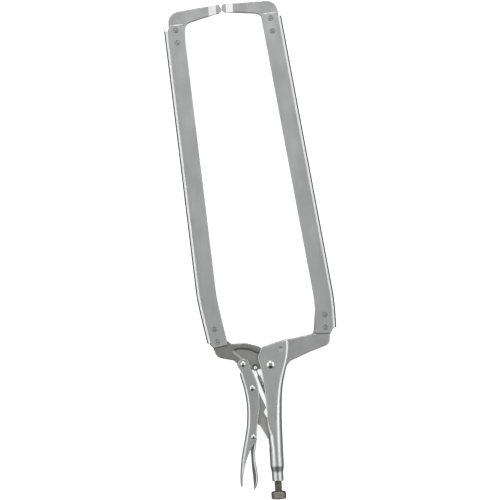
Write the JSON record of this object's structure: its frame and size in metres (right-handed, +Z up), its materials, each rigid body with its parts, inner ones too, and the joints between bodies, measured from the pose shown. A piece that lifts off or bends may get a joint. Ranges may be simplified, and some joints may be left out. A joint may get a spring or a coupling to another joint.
{
  "type": "locking c clamp",
  "caption": "Long-reach locking C clamp: deep pressed arms with forged jaws, toggle handles, release lever and adjusting screw.",
  "frame": {"origin": "bottom centre of the closed clamp's box, as it lies flat on its arm flanges", "axes": "+Y from the adjusting knob to the jaw tips, along the fixed handle; +X towards the fixed arm; +Z up, square to the clamp's plane"},
  "size_m": [0.1861, 0.5976, 0.028],
  "materials": {
    "bright_plated_sheet": "satin nickel plated pressed steel, soft lengthwise reflections",
    "forged_jaw": "plated drop forging of the movable jaw, darker and rougher than the sheet",
    "forged_tip": "plated forging of the tips and the fixed jaw, ground bright at the tips' bevels",
    "arm_sheet": "matt plated pressed steel sheet",
    "arm_rivet": "dull plated rivet heads",
    "bright_rivet": "bright domed rivet heads",
    "dark_link": "dark plated link plate",
    "spring_wire": "drawn spring wire",
    "screw_steel": "dull warm grey steel, rolled thread and knurled edge"
  },
  "bodies": {
    "fixed_side": {"fixed_handle": "bright_plated_sheet", "fixed_jaw": "forged_tip", "fixed_arm_front": "arm_sheet", "fixed_arm_rear": "arm_sheet", "fixed_tip_jaw": "forged_tip", "fixed_arm_tip_rivets": "arm_rivet", "fixed_arm_foot_rivets": "arm_rivet", "jaw_pivot_rivet": "bright_rivet", "tension_spring": "spring_wire"},
    "movable_jaw_side": {"movable_jaw": "forged_jaw", "movable_arm_front": "arm_sheet", "movable_arm_rear": "arm_sheet", "movable_tip_jaw": "forged_tip", "movable_arm_tip_rivets": "arm_rivet", "movable_arm_foot_rivets": "arm_rivet"},
    "movable_handle_side": {"movable_handle": "bright_plated_sheet", "handle_pivot_rivet": "bright_rivet", "link_pivot_rivet": "bright_rivet", "lever_pivot_rivet": "bright_rivet"},
    "toggle_link_body": {"toggle_link": "dark_link"},
    "release_lever_body": {"release_lever": "bright_plated_sheet"},
    "adjusting_screw_body": {"adjusting_screw": "screw_steel"},
    "screw_knob_body": {"screw_knob": "screw_steel"}
  },
  "joints": [
    {"name": "jaw_open", "type": "hinge", "parent": "fixed_side", "child": "movable_jaw_side", "pos_m": [0.0119, -0.13715, 0.014], "axis": [0, 0, 1], "range_deg": [0, 34], "deforming": ["tension_spring"]},
    {"name": "handle_swing", "type": "hinge", "parent": "movable_jaw_side", "child": "movable_handle_side", "pos_m": [-0.021, -0.13455, 0.014], "axis": [0, 0, 1], "range_deg": [-93, 1]},
    {"name": "link_swing", "type": "hinge", "parent": "movable_handle_side", "child": "toggle_link_body", "pos_m": [-0.0114, -0.16395, 0.014], "axis": [0, 0, 1], "range_deg": [-1, 86]},
    {"name": "lever_release", "type": "hinge", "parent": "movable_handle_side", "child": "release_lever_body", "pos_m": [-0.0133, -0.22225, 0.014], "axis": [0, 0, 1], "range_deg": [-12, 0]},
    {"name": "screw_feed", "type": "slide", "parent": "fixed_side", "child": "adjusting_screw_body", "axis": [0, -1, 0], "range_m": [0, 0.0127]},
    {"name": "knob_turn", "type": "hinge", "parent": "adjusting_screw_body", "child": "screw_knob_body", "pos_m": [0.0131, -0.29375, 0.014], "axis": [0, -1, 0], "range_deg": [-5, 2890]}
  ],
  "couplings": [
    {"joint": "handle_swing", "follows": "jaw_open", "ratio": -2.7},
    {"joint": "link_swing", "follows": "jaw_open", "ratio": 2.48},
    {"joint": "knob_turn", "follows": "screw_feed", "rad_per_m": 3957.9}
  ]
}
